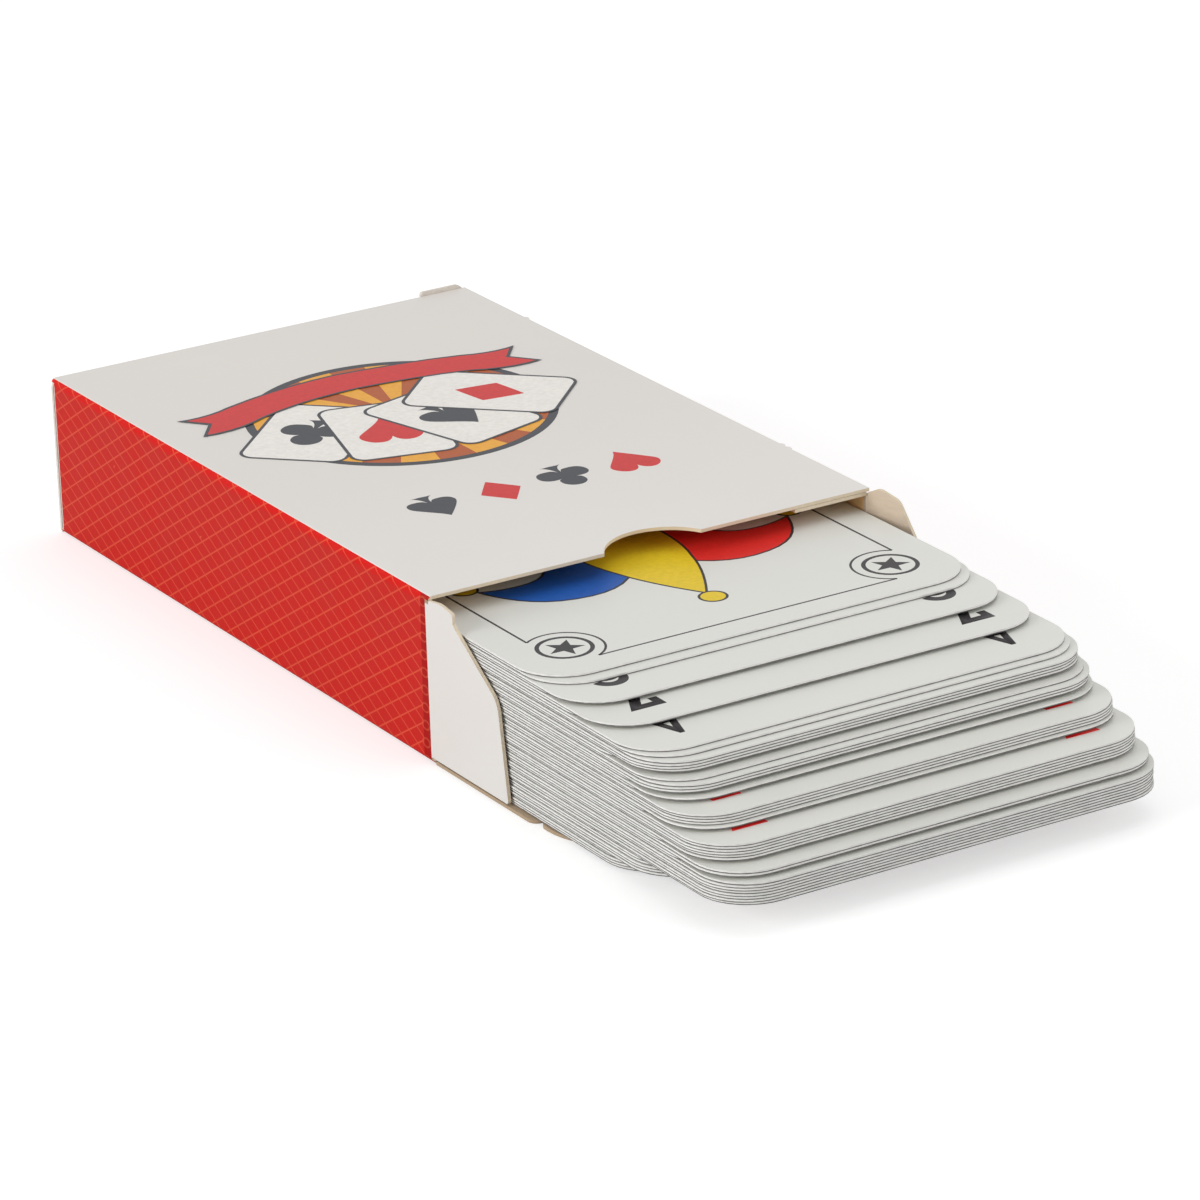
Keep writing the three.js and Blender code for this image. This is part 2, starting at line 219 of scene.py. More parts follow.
class Nodes:
    """Adds nodes to a shader's tree."""

    def __init__(self, tree):
        self.tree = tree

    def feed(self, socket, value):
        """Links an output to an input, or sets a constant."""
        if isinstance(value, bpy.types.NodeSocket):
            self.tree.links.new(value, socket)
        else:
            socket.default_value = value

    def add(self, kind, inputs, output=0, **settings):
        """Adds a node and returns one of its outputs."""
        made = self.tree.nodes.new("ShaderNode" + kind)
        for key, value in settings.items():
            setattr(made, key, value)
        for socket, value in inputs.items():
            self.feed(made.inputs[socket], value)
        return made.outputs[output]

    def calc(self, operation, first, second=0.0):
        """One step of arithmetic."""
        return self.add("Math", {0: first, 1: second}, operation=operation)

    def times(self, first, second):
        """A product."""
        return self.calc("MULTIPLY", first, second)

    def minus(self, first, second):
        """A difference."""
        return self.calc("SUBTRACT", first, second)

    def mix(self, share, first, second):
        """A mix of two colours."""
        return self.add("Mix", {0: share, 6: first, 7: second}, 2, data_type="RGBA")

    def ramp(self, value, low, high, at_low=0.0, at_high=1.0):
        """A smooth step between two values."""
        inputs = {0: value, 1: low, 2: high, 3: at_low, 4: at_high}
        return self.add("MapRange", inputs, interpolation_type="SMOOTHSTEP")


class Finish(Nodes):
    """A new material, coloured by the point's place on its piece."""

    def __init__(self, name, roughness, gloss=0.5):
        material = bpy.data.materials.new(name)
        material.use_nodes = True
        super().__init__(material.node_tree)
        self.sockets = self.tree.nodes["Principled BSDF"].inputs
        self.set("Roughness", roughness)
        self.set("Specular IOR Level", gloss)
        self.point = self.add("TexCoord", {}, "Object")

    def set(self, socket, value):
        """Feeds an input of the surface."""
        self.feed(self.sockets[socket], value)

    def paint(self, shade):
        """Feeds the colour of the surface."""
        self.set("Base Color", shade)

    def axis(self, name):
        """One coordinate of the point."""
        return self.add("SeparateXYZ", {0: self.point}, name)

    def grain(self, scale, detail=3.0, stretch=None):
        """Soft noise of about one feature every 1/scale metres."""
        point = self.add("Mapping", {"Vector": self.point, "Scale": stretch}) if stretch else self.point
        return self.add("TexNoise", {"Vector": point, "Scale": scale, "Detail": detail})

    def tones(self, share, shade, dark, light):
        """A colour between a darker and a lighter tone of it."""
        return self.mix(share, rgba(shade, dark), rgba(shade, light))

    def sheen(self, cloud, smooth_end, rough_end):
        """Varies the roughness with a slow noise."""
        self.set("Roughness", self.ramp(cloud, 0.3, 0.7, smooth_end, rough_end))

    def relief(self, height, strength, distance):
        """Gives the surface relief from a height."""
        self.set("Normal", self.add("Bump", {"Strength": strength, "Distance": distance, "Height": height}))

    def stroke(self, off, width):
        """1 on a drawn line and 0 off it."""
        return self.ramp(off, width * 0.3, width * 0.8, 1.0, 0.0)

    def line_family(self, first, second, angle, spacing, width):
        """Straight lines at an angle over two coordinates."""
        across = self.minus(self.times(second, cos(angle)), self.times(first, sin(angle)))
        return self.stroke(self.calc("PINGPONG", across, spacing / 2), width)

    def net(self, first, second, spacing, width):
        """A net of two families of lines, the second denser, flatter and thinner."""
        rising = self.line_family(first, second, -NET_ANGLE, spacing, width)
        falling = self.line_family(first, second, NET_ANGLE * 0.93, spacing * 0.965, width * 0.85)
        return self.calc("MAXIMUM", rising, falling)

    def loop_column(self, first, second, pitch, radius, width):
        """A column of small flat rings along the second coordinate."""
        across = self.times(first, 0.65)
        along = self.add("Math", {0: second, 1: pitch / 2, 2: -pitch / 2}, operation="WRAP")
        squares = self.calc("ADD", self.times(across, across), self.times(along, along))
        off = self.calc("ABSOLUTE", self.minus(self.calc("SQRT", squares), radius))
        return self.stroke(off, width)


def coated_board(name, white):
    """White coated board, faintly cloudy and waved, paler towards the mouth."""
    finish = Finish(name, roughness=0.42)
    cloud = finish.grain(scale=45.0)
    tooth = finish.grain(scale=2600.0)
    pale = (white[0] * 1.05, white[1] * 1.065, white[2] * 1.08, 1.0)
    near = finish.ramp(finish.axis("Y"), -HALF_LENGTH, 5 * MM, 1.0, 0.0)
    finish.paint(finish.mix(near, finish.tones(cloud, white, dark=0.95, light=1.04), pale))
    finish.sheen(cloud, 0.36, 0.5)
    finish.relief(finish.calc("ADD", finish.times(tooth, 0.02), cloud), strength=0.25, distance=0.4 * MM)


def red_side(name, carton):
    """Worn print of the carton's sides: a fine net that ends in loops on a darker band by the mouth, which is
    painted shade of the crease where the wall turns in.
    """
    finish = Finish(name, roughness=0.4, gloss=0.12)
    along, height = finish.axis("Y"), finish.axis("Z")
    width = 0.17 * MM
    # Painted shade: a darker band at the mouth's end of each side, where the wall turns in at its crease; the
    # net stops there.
    crease_shade_width, crease_shade_blur, crease_lean = 2.2 * MM, 0.15 * MM, 0.03
    loop_line, loop_radius = 1.75 * MM, 0.5 * MM
    leaning = finish.calc("ADD", along, finish.times(height, crease_lean))
    crease_shade_end = crease_shade_width - HALF_LENGTH
    crease_shade = finish.ramp(leaning, crease_shade_end, crease_shade_end + crease_shade_blur, 1.0, 0.0)
    net = finish.times(finish.net(along, height, carton.net, width), finish.minus(1.0, crease_shade))
    from_loops = finish.minus(leaning, loop_line - HALF_LENGTH)
    loops = finish.loop_column(from_loops, height, carton.net / cos(NET_ANGLE), loop_radius, width)
    drawn = finish.times(finish.calc("MAXIMUM", net, finish.times(loops, 0.75)), 0.42)
    cloud = finish.grain(scale=160.0)
    bent = finish.ramp(height, TOP - 1.3 * MM, TOP - 0.6 * MM)
    ground = finish.mix(bent, finish.tones(cloud, carton.red, dark=0.93, light=1.07), rgba(carton.bright_red))
    # The band at the crease takes a darker red, as painted shade.
    base = finish.mix(crease_shade, ground, rgba(carton.bright_red, 0.6))
    printed = finish.mix(drawn, base, rgba(carton.line))
    scuff = finish.ramp(finish.grain(scale=900.0, detail=5.0), 0.71, 0.76, 0.0, 0.35)
    scuffed = finish.mix(scuff, printed, rgba(carton.line, 1.3))
    rubbed = finish.ramp(finish.grain(scale=500.0, detail=5.0), 0.6, 0.68, 0.0, 0.4)
    worn = finish.times(finish.ramp(height, TOP - 0.4 * MM, TOP - 0.1 * MM), rubbed)
    finish.paint(finish.mix(worn, scuffed, rgba(carton.line)))
    finish.sheen(cloud, 0.34, 0.46)
    finish.relief(finish.grain(scale=2200.0), strength=0.12, distance=0.1 * MM)


def bare_board(name, shade):
    """Uncoated board with short fibres and faint stains."""
    finish = Finish(name, roughness=0.85)
    fibres = finish.grain(scale=1500.0, detail=6.0, stretch=(1.0, 0.35, 1.0))
    stain = finish.ramp(finish.grain(scale=70.0), 0.35, 0.75, 0.0, 0.4)
    base = finish.tones(fibres, shade, dark=0.88, light=1.08)
    finish.paint(finish.mix(stain, base, rgba(shade, 0.86)))
    finish.relief(fibres, strength=0.35, distance=0.2 * MM)


def card_face(name, shade):
    """Coated card stock with a faint linen tooth."""
    finish = Finish(name, roughness=0.4)
    cloud = finish.grain(scale=55.0)
    finish.paint(finish.tones(cloud, shade, dark=0.965, light=1.03))
    finish.sheen(cloud, 0.36, 0.46)
    finish.relief(finish.grain(scale=3200.0), strength=0.1, distance=0.1 * MM)


def card_edge(name, shade, spread):
    """Cut edge of a card, in short streaks."""
    finish = Finish(name, roughness=0.8)
    streaks = finish.grain(scale=1200.0, detail=4.0, stretch=(1.0, 1.0, 5.0))
    finish.paint(finish.tones(finish.ramp(streaks, 0.3, 0.7), shade, 1 - spread, 1 + spread))


def card_back(name, ground, line):
    """Print of the card backs: a broad net on white."""
    finish = Finish(name, roughness=0.4, gloss=0.12)
    net = finish.net(finish.axis("X"), finish.axis("Y"), spacing=2.4 * MM, width=0.7 * MM)
    finish.paint(finish.mix(finish.times(net, 0.55), rgba(ground), rgba(line)))


def printed_ink(name, shade):
    """Ink on coated stock, slightly uneven in its cover."""
    finish = Finish(name, roughness=0.42, gloss=0.2)
    cover = finish.grain(scale=1800.0, detail=4.0)
    finish.paint(finish.tones(cover, shade, dark=0.86, light=1.14))


# Meshes


def new_mesh(bm, name="stamp"):
    """Keeps a bmesh as a mesh."""
    mesh = bpy.data.meshes.new(name)
    bm.to_mesh(mesh)
    bm.free()
    return mesh


def finish_mesh(bm, name, *finishes):
    """Makes an object of a bmesh, with these finishes in its slots."""
    mesh = new_mesh(bm, name)
    for finish in finishes:
        mesh.materials.append(bpy.data.materials[finish])
    piece = bpy.data.objects.new(name, mesh)
    bpy.context.collection.objects.link(piece)
    return piece


def ride_on(piece, body, node=None):
    """Names a piece's body and the node that it replaces."""
    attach(piece, body)
    if node:
        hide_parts(node)


def bend_between(piece, parent, child, start, end, node):
    """Bakes a piece's place into its mesh and hides the node that it replaces. The parent and child bodies
    and the ends of the bend are not used.
    """
    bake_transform(piece)
    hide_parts(node)


def verts_in(geom):
    """The vertices among what an operator made."""
    return [part for part in geom if isinstance(part, bmesh.types.BMVert)]


def face_out(bm):
    """Turns the faces of a closed mesh outwards."""
    bmesh.ops.recalc_face_normals(bm, faces=bm.faces)


def face_up(bm, slot=0):
    """Turns flat faces upwards and gives them a material slot."""
    for face in bm.faces:
        face.material_index = slot
        face.normal_update()
        if face.normal.z < 0:
            face.normal_flip()


def thicken(bm, geom, height):
    """Raises faces with sides under them."""
    made = bmesh.ops.extrude_face_region(bm, geom=geom)["geom"]
    bmesh.ops.translate(bm, verts=verts_in(made), vec=(0, 0, height))
    return made


def slice_faces(bm, faces, spot, way):
    """Cuts these faces where a plane passes through them."""
    geom = list(dict.fromkeys(part for face in faces for part in (*face.verts, *face.edges, face)))
    bmesh.ops.bisect_plane(bm, geom=geom, plane_co=spot, plane_no=way, dist=1e-7)


def rectangle(x0, x1, y0, y1, last):
    """The corners of a rectangle, each with the same last value."""
    return [(x, y, last) for x, y in ((x0, y0), (x1, y0), (x1, y1), (x0, y1))]


def flat_blank(corners, segments=8):
    """A flat face through corners (x, y, cut), each rounded over its cut."""
    bm = bmesh.new()
    verts = [bm.verts.new((x, y, 0.0)) for x, y, _ in corners]
    bm.faces.new(verts)
    for vert, (_, _, cut) in zip(verts, corners):
        if cut > 0:
            bmesh.ops.bevel(bm, geom=[vert], offset=cut, offset_type="OFFSET", segments=segments, profile=0.5,
                            affect="VERTICES", material=-1)
    face_up(bm)
    return bm


def board_blank(corners, lines, carton, segments=8):
    """A blank of board, cut across at lines along Y: slot 0 below, 1 above and 2 at the edge."""
    bm = flat_blank(corners, segments)
    for line in lines:
        slice_faces(bm, bm.faces, (0, line, 0), (0, 1, 0))
    thicken(bm, bm.faces[:], carton.board)
    face_out(bm)
    for face in bm.faces:
        if face.normal.z > 0.5:
            face.material_index = 1
        elif face.normal.z > -0.5:
            face.material_index = 2
    return bm


def bead(bm, line, carton):
    """Raises the bead of a crease on the upper face."""
    reach = carton.crease * 0.1
    verts = [vert for vert in bm.verts if abs(vert.co.y - line) < reach and vert.co.z > carton.board / 2]
    bmesh.ops.translate(bm, verts=verts, vec=(0, 0, carton.crease_bead))


def roll_up(bm, start, radius):
    """Folds what lies past start squarely up, over this outer radius."""
    arc = radius * SQUARE
    for vert in bm.verts:
        along = min(max(vert.co.y - start, 0.0), arc)
        if along > 1e-8:
            bmesh.ops.translate(bm, verts=[vert], vec=(0, -along, 0))
            turn = Matrix.Rotation(SQUARE * along / arc, 3, "X")
            bmesh.ops.rotate(bm, verts=[vert], cent=(0, start, radius), matrix=turn)


def curve_outline(points, steps=5):
    """A closed outline of cubic curves through points (knot, handle in, handle out)."""
    outline = []
    for here, there in zip(points, points[1:] + points[:1]):
        ends = [Vector((*part, 0.0)) for part in (here[0], here[2], there[1], there[0])]
        straight = here[2] == here[0] and there[1] == there[0]
        outline += interpolate_bezier(*ends, 2 if straight else steps)[:-1]
    return outline


def mirrored(points):
    """The outline seen in a mirror on the middle line."""
    return [tuple((-x, y) for x, y in (knot, after, before)) for knot, before, after in reversed(points)]


def both_halves(right):
    """The closed outline of a right half that runs up from the middle line."""
    return right + mirrored(right[1:-1])


def sharp(*corners):
    """Corners of an outline, which have no handles."""
    return [(corner,) * 3 for corner in corners]


def smooth(x, y, dx, dy):
    """A smooth point of an outline, with handles of dx, dy."""
    return (x, y), (x - dx, y - dy), (x + dx, y + dy)


STEM = [((0, -0.5), (0, -0.5), (0.1, -0.5)), ((0.19, -0.5), (0.12, -0.48), (0.1, -0.45))]
SUITS = {
    "hearts": both_halves([
        ((0, -0.5), (0, -0.5), (0.06, -0.3)), smooth(0.43, 0.13, 0.07, 0.13), smooth(0.24, 0.47, -0.12, 0.02),
        ((0, 0.27), (0.04, 0.42), (-0.04, 0.42)),
    ]),
    "diamonds": both_halves([
        *sharp((0, -0.5)), ((0.37, 0), (0.26, -0.16), (0.26, 0.16)), *sharp((0, 0.5)),
    ]),
    "spades": both_halves([
        *STEM, ((0.035, -0.2), (0.05, -0.36), (0.07, -0.3)), smooth(0.24, -0.32, 0.13, 0.0),
        smooth(0.43, -0.1, -0.02, 0.14), ((0, 0.5), (0.08, 0.3), (0, 0.5)),
    ]),
    "clubs": both_halves([
        *STEM, ((0.03, -0.17), (0.04, -0.34), (0.07, -0.3)), smooth(0.25, -0.3, 0.14, 0.0),
        smooth(0.46, -0.07, 0.0, 0.13), smooth(0.25, 0.13, -0.1, 0.0),
        ((0.1, 0.09), (0.15, 0.12), (0.2, 0.16)), smooth(0.22, 0.28, 0.0, 0.12), smooth(0, 0.5, -0.12, 0.0),
    ]),
}

EMBLEMS = {
    "king": both_halves(sharp(
        (0, -0.4), (0.5, -0.4), (0.62, 0.3), (0.34, 0.0), (0.2, 0.38), (0.1, 0.05), (0, 0.5),
    )),
    "queen": both_halves([
        *sharp((0, -0.4), (0.5, -0.4)), smooth(0.6, 0.2, 0.0, 0.12),
        ((0.3, 0.0), (0.36, 0.12), (0.3, 0.12)), smooth(0, 0.42, -0.14, 0.0),
    ]),
    "jack": both_halves([
        *sharp((0, -0.5)), ((0.44, 0.1), (0.36, -0.3), (0.44, 0.24)), *sharp((0.44, 0.42), (0, 0.42)),
    ]),
}

ROWS = {
    "ace": [(0, 0)],
    "two": [(0, 1), (0, -1)],
    "three": [(0, 1), (0, 0), (0, -1)],
    "four": [(1, 1), (1, -1)],
    "five": [(1, 1), (1, -1), (0, 0)],
    "six": [(1, 1), (1, 0), (1, -1)],
    "seven": [(1, 1), (1, 0), (1, -1), (0, 0.5)],
    "eight": [(1, 1), (1, 0), (1, -1), (0, 0.5), (0, -0.5)],
    "nine": [(1, 1), (1, 0.33), (1, -0.33), (1, -1), (0, 0)],
    "ten": [(1, 1), (1, 0.33), (1, -0.33), (1, -1), (0, 0.66), (0, -0.66)],
}


def inset(bm, faces, width):
    """Draws a rim inside the faces' outline and returns its faces."""
    rim = bmesh.ops.inset_region(bm, faces=faces, thickness=width, use_boundary=True, use_even_offset=True)
    return rim["faces"]


def close_stamp(bm, height):
    """Gives a flat print its thickness and keeps it as a mesh."""
    thicken(bm, bm.faces[:], height)
    face_out(bm)
    return new_mesh(bm)


def ink_stamp(outline, size, height, fill, rim_slot=None, rim_width=0.0):
    """A thin closed print of an outline, as a mesh to be set down."""
    bm = bmesh.new()
    face = bm.faces.new([bm.verts.new(point * size) for point in outline])
    face_up(bm, fill)
    if rim_slot is not None:
        for part in inset(bm, [face], rim_width):
            part.material_index = rim_slot
    return close_stamp(bm, height)


def bar_stamp(x0, x1, y0, y1, height):
    """The print of a straight bar."""
    return ink_stamp([Vector(corner) for corner in rectangle(x0, x1, y0, y1, 0)], 1.0, height, INK)


def ring_stamp(centre, inner, outer, start, end, height):
    """The print of a ring, or of a part of one."""
    bm = bmesh.new()
    ray = Vector((cos(start), sin(start), 0))
    spoke = [bm.verts.new(centre + ray * radius) for radius in (inner, outer)]
    whole = abs(end - start) > 2 * pi - NEAR
    bmesh.ops.spin(bm, geom=[*spoke, bm.edges.new(spoke)], cent=centre, axis=(0, 0, 1), angle=end - start,
                   steps=32, use_merge=whole)
    bmesh.ops.remove_doubles(bm, verts=bm.verts, dist=1e-8)
    face_up(bm, INK)
    return close_stamp(bm, height)


def join_stamps(*stamps):
    """Several prints as one."""
    bm = bmesh.new()
    for stamp in stamps:
        bm.from_mesh(stamp)
    return new_mesh(bm)


def six_stamp(cards):
    """A six with a broad round top, hung from its top edge."""
    outer = cards.index_width / 2
    inner = outer - cards.index_stroke
    top = Vector((0, -outer, 0))
    bowl = Vector((0, outer - cards.index_height, 0))
    arch_start = radians(12)
    arch = ring_stamp(top, inner, outer, arch_start, pi, cards.ink)
    ring = ring_stamp(bowl, inner, outer, 0.0, 2 * pi, cards.ink * LOW_INK)
    return join_stamps(arch, ring, bar_stamp(-outer, -inner, bowl.y, top.y, cards.ink))


def letter_stamp(sign, cards):
    """A sign of the built-in typeface, as wide and high as set."""
    text = bpy.data.curves.new("sign", "FONT")
    text.body = sign
    text.size = 8.0
    text.resolution_u = 3
    text.offset = cards.index_bold / MM
    holder = bpy.data.objects.new("sign", text)
    bpy.context.collection.objects.link(holder)
    bpy.context.view_layer.update()
    flat = bpy.data.meshes.new_from_object(holder.evaluated_get(bpy.context.evaluated_depsgraph_get()))
    bpy.data.objects.remove(holder)
    bm = bmesh.new()
    bm.from_mesh(flat)
    bmesh.ops.remove_doubles(bm, verts=bm.verts, dist=1e-4)
    bmesh.ops.dissolve_limit(bm, angle_limit=radians(1), verts=bm.verts, edges=bm.edges)
    xs, ys, _ = zip(*[vert.co for vert in bm.verts])
    tall = cards.index_height / (max(ys) - min(ys))
    wide = cards.index_width / (max(xs) - min(xs))
    centre = Vector(((max(xs) + min(xs)) / 2, max(ys), 0))
    bmesh.ops.translate(bm, verts=bm.verts, vec=-centre)
    bmesh.ops.scale(bm, verts=bm.verts, vec=(wide, tall, 1.0))
    face_up(bm, INK)
    return close_stamp(bm, cards.ink)


def index_stamp(sign, cards):
    """The print of one index sign, hung from its top edge."""
    if sign in "69":
        six = six_stamp(cards)
        if sign == "9":
            six.transform(Matrix.Translation((0, -cards.index_height, 0)) @ Matrix.Rotation(pi, 4, "Z"))
        return six
    plain = letter_stamp(sign, cards)
    if sign == "7":
        left = min(vert.co.x for vert in plain.vertices)
        stroke = cards.index_stroke
        hook = bar_stamp(left, left + stroke, -2 * stroke, -0.5 * stroke, cards.ink * LOW_INK)
        return join_stamps(plain, hook)
    return plain


def set_down(bm, stamp, x, y, z, turn=0.0, scale=(1, 1)):
    """Adds a copy of a print at a place, turned about Z."""
    copy = stamp.copy()
    shape = Matrix.Rotation(turn, 4, "Z") @ Matrix.Diagonal((*scale, 1, 1))
    copy.transform(Matrix.Translation((x, y, z)) @ shape)
    if shape.determinant() < 0:
        copy.flip_normals()
    bm.from_mesh(copy)
    bpy.data.meshes.remove(copy)


def card_blank(node, cards):
    """The bare card of a node, and the corners of its box."""
    low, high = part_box(node)
    bm = flat_blank(rectangle(low.x, high.x, low.y, high.y, cards.corner), 10)
    bmesh.ops.translate(bm, verts=bm.verts, vec=(0, 0, low.z))
    face = bm.faces[:][0]
    # The lower ply of each edge gets the darker grey: partly the card's core, partly painted shade of the gap
    # under it.
    for rise, slot in ((cards.core, CORE_AND_GAP_SHADE), (high.z - low.z - cards.core, EDGE)):
        made = thicken(bm, [face, *face.edges], rise)
        face = next(part for part in made if isinstance(part, bmesh.types.BMFace))
        for edge in face.edges:
            for side in edge.link_faces:
                side.material_index = slot
        face.material_index = FACE
    back = min(bm.faces, key=lambda part: part.calc_center_median().z)
    inset(bm, [back], cards.back_border)
    back.material_index = BACK
    face_out(bm)
    return bm, low, high


def finish_card(bm, node, cards, *inks):
    """Makes the object of a card, and once the finishes that all cards share."""
    if "card_face" not in bpy.data.materials:
        card_face("card_face", cards.face)
        card_edge("card_edge", cards.edge, spread=0.08)
        # The darker ply finish is partly the card's core, partly painted shade of the gap under each card.
        card_edge("card_ply", cards.ply, spread=0.35)
        card_back("card_back", cards.face, cards.red)
        for ink in ("black", "red", "blue", "gold"):
            printed_ink("ink_" + ink, getattr(cards, ink))
    stock = ("card_face", "card_edge", "card_ply", "card_back")
    piece = finish_mesh(bm, "playing_" + node, *stock, *["ink_" + ink for ink in inks])
    ride_on(piece, node[:len("card_00")], node)


def corners_of(low, high, side, end):
    """Places in a card's four corners: x, y and the turn of the print."""
    return [
        (low.x + side, low.y + end, pi), (high.x - side, low.y + end, pi),
        (low.x + side, high.y - end, 0.0), (high.x - side, high.y - end, 0.0),
    ]


def dust_outline(top, bend, crest_out=2.6 * MM, crest=0.0, locked=True):
    """Corners of a dust flap: X runs up the wall, Y out from its root. The bend is what the fold takes up.

    A locked flap has a notch and a knee in its slanted edge. A plain one runs straight to its tip."""
    low = 0.7 * MM
    reach = 15.8 * MM + bend
    shoulder = 5.3 * MM + bend
    knee_top, knee_out = top - 7.2 * MM, reach - 1.6 * MM
    notch = 1.1 * MM
    step, step_slant = 0.78 * MM, 0.02 * MM
    tip_round, knee_round, crest_round = 0.4 * MM, 1.2 * MM, 0.5 * MM
    slanted = [(top, shoulder - notch / 2, notch / 2)]
    if locked:
        slanted = [
            (knee_top, knee_out, knee_round), (top - 1.5 * notch, shoulder + notch / 2, 0),
            (top - notch, shoulder, 0), (top, shoulder, tip_round),
        ]
    return [
        (low, 0, 0), (low, reach, tip_round), *slanted, (top + crest, bend + crest_out, crest_round),
        (top, step, 0), (DUST_ROOT_TOP, step - step_slant, 0), (DUST_ROOT_TOP, 0, 0),
    ]


def stand_up(bm, side, end, carton):
    """Stands a dust flap in line with its wall and returns its root."""
    root = Vector((side * HALF_WIDTH, end * (HALF_LENGTH - carton.wall_end), 0))
    stand = Matrix(((0, 0, -side), (0, end, 0), (1, 0, 0)))
    bmesh.ops.transform(bm, matrix=Matrix.Translation(root) @ stand.to_4x4(), verts=bm.verts)
    face_out(bm)
    return root


# Operators


class CARDGAME_OT_sleeve(bpy.types.Operator):
    """Makes the folded sleeve of the carton, with its glue seam, thumb notch and far dust flaps"""

    bl_idname = "cardgame.sleeve"
    bl_label = "Sleeve"

    def execute(self, context):
        carton = context.scene.card_game.carton
        coated_board("coated_white", carton.white)
        red_side("red_side", carton)
        bare_board("bare_flap", carton.bare)
        # A darker copy of the bare board, painted shade for the open lid.
        bare_board("bare_lid", carton.near_inside_painted_shade)
        bare_board("bare_far_lid", carton.far_inside)
        # A brighter, warmer copy of the bare board, painted light for the sleeve's inside.
        bare_board("bare_inside", carton.inner)
        bare_board("cut_edge", carton.cut)
        bm = self.folded_strip(carton)
        self.cut_notch(bm, carton)
        self.roughen_raw_edge(bm)
        self.trim_walls(bm, carton)
        white, red, bare, cut = range(4)
        outer = set(bm.faces)
        for face in outer:
            face.material_index = red if abs(face.normal.x) > 0.6 else white
        bmesh.ops.solidify(bm, geom=bm.faces[:], thickness=carton.board)
        for face in bm.faces:
            if face not in outer:
                on_rim = any(other in outer for edge in face.edges for other in edge.link_faces)
                face.material_index = cut if on_rim else bare
        face_out(bm)
        piece = finish_mesh(bm, "sleeve", "coated_white", "red_side", "bare_inside", "cut_edge")
        ride_on(piece, "carton", "carton_sleeve")
        for side, name in ((-1, "far_dust_flap_left"), (1, "far_dust_flap_right")):
            ride_on(self.far_flap(side, name, carton), "carton")
        return {"FINISHED"}

    def folded_strip(self, carton):
        """The sleeve's outer face, from the raw edge round to the end of the glue flap."""
        glue_top = TOP - carton.glue_drop
        line = [
            (HALF_WIDTH, TOP), (-HALF_WIDTH, TOP), (-HALF_WIDTH, 0.0), (HALF_WIDTH, 0.0),
            (HALF_WIDTH, glue_top), (HALF_WIDTH - carton.glue_flap, glue_top),
        ]
        bm = bmesh.new()
        verts = [bm.verts.new((x, -HALF_LENGTH, z)) for x, z in line]
        edges = [bm.edges.new(pair) for pair in zip(verts, verts[1:])]
        drawn = bmesh.ops.extrude_edge_only(bm, edges=edges)["geom"]
        bmesh.ops.translate(bm, verts=verts_in(drawn), vec=(0, 2 * HALF_LENGTH, 0))
        folds = [edge for edge in bm.edges if len(edge.link_faces) == 2]
        bmesh.ops.bevel(bm, geom=folds, offset=carton.fold, offset_type="OFFSET", segments=6, profile=0.5,
                        affect="EDGES", material=-1)
        face_out(bm)
        front = max(bm.faces, key=lambda face: face.calc_center_median().z)
        if front.normal.z < 0:
            bmesh.ops.reverse_faces(bm, faces=bm.faces)
        return bm

    def cut_notch(self, bm, carton):
        """Draws the mouth's edge back into the half-moon thumb notch."""
        half, depth, cuts = carton.notch_width / 2, carton.notch_depth, 31
        for x in (-half, half):
            level = [face for face in bm.faces if face.normal.z > 0.99]
            panels = [face for face in level if face.calc_center_median().z > TOP - NEAR]
            slice_faces(bm, panels, (x, 0, 0), (1, 0, 0))
        edge = next(
            edge for edge in bm.edges
            if all(vert.co.z > TOP - NEAR and vert.co.y < NEAR - HALF_LENGTH and abs(vert.co.x) < half + NEAR
                   for vert in edge.verts)
        )
        made = bmesh.ops.subdivide_edges(bm, edges=[edge], cuts=cuts)
        radius = (half ** 2 + depth ** 2) / (2 * depth)
        for vert in verts_in(made["geom_inner"]):
            vert.co.y += depth - radius + sqrt(radius ** 2 - vert.co.x ** 2)

    def roughen_raw_edge(self, bm):
        """Leaves the small torn ties of the die along the front panel's raw edge."""
        ties = (29.9 * MM, -27.2 * MM, -28.6 * MM)
        foot_and_tip = (-0.6 * MM, -0.2 * MM, 0.25 * MM, 0.7 * MM)
        torn_out = (0.22 * MM, 0, 0.05 * MM)

        def raw(vert):
            return vert.co.z > TOP - NEAR and vert.co.x > HALF_WIDTH - NEAR

        for y in [tie + off for tie in ties for off in foot_and_tip]:
            for edge in [edge for edge in bm.edges if all(raw(vert) for vert in edge.verts)]:
                first, last = sorted(edge.verts, key=lambda vert: vert.co.y)
                if first.co.y < y < last.co.y:
                    bmesh.utils.edge_split(edge, first, (y - first.co.y) / (last.co.y - first.co.y))
                    break
        split = [vert for vert in bm.verts if raw(vert) and abs(vert.co.y) < HALF_LENGTH - NEAR]
        split.sort(key=lambda vert: vert.co.y)
        for start in range(0, len(split), len(foot_and_tip)):
            bmesh.ops.translate(bm, verts=split[start + 1:start + 3], vec=torn_out)

    def trim_walls(self, bm, carton):
        """Stops both side walls where the dust flaps go on."""
        stop = HALF_LENGTH - carton.wall_end
        for end in (-1, 1):
            walls = [face for face in bm.faces if abs(face.normal.x) > 0.99]
            slice_faces(bm, walls, (0, end * stop, 0), (0, 1, 0))
            walls = [face for face in bm.faces if abs(face.normal.x) > 0.99]
            stubs = [face for face in walls if end * face.calc_center_median().y > stop]
            bmesh.ops.delete(bm, geom=stubs, context="FACES")

    def far_flap(self, side, name, carton):
        """A dust flap that folds in across the closed far end."""
        top = 14.9 * MM
        arc = carton.fold * SQUARE
        lines = [arc * step / 6 for step in range(1, 7)]
        bm = board_blank(dust_outline(top, arc - carton.fold), lines, carton)
        roll_up(bm, 0.0, carton.fold)
        stand_up(bm, side, 1, carton)
        # The flap's inside takes the brighter inside board, painted light.
        return finish_mesh(bm, name, "coated_white", "bare_inside", "cut_edge")


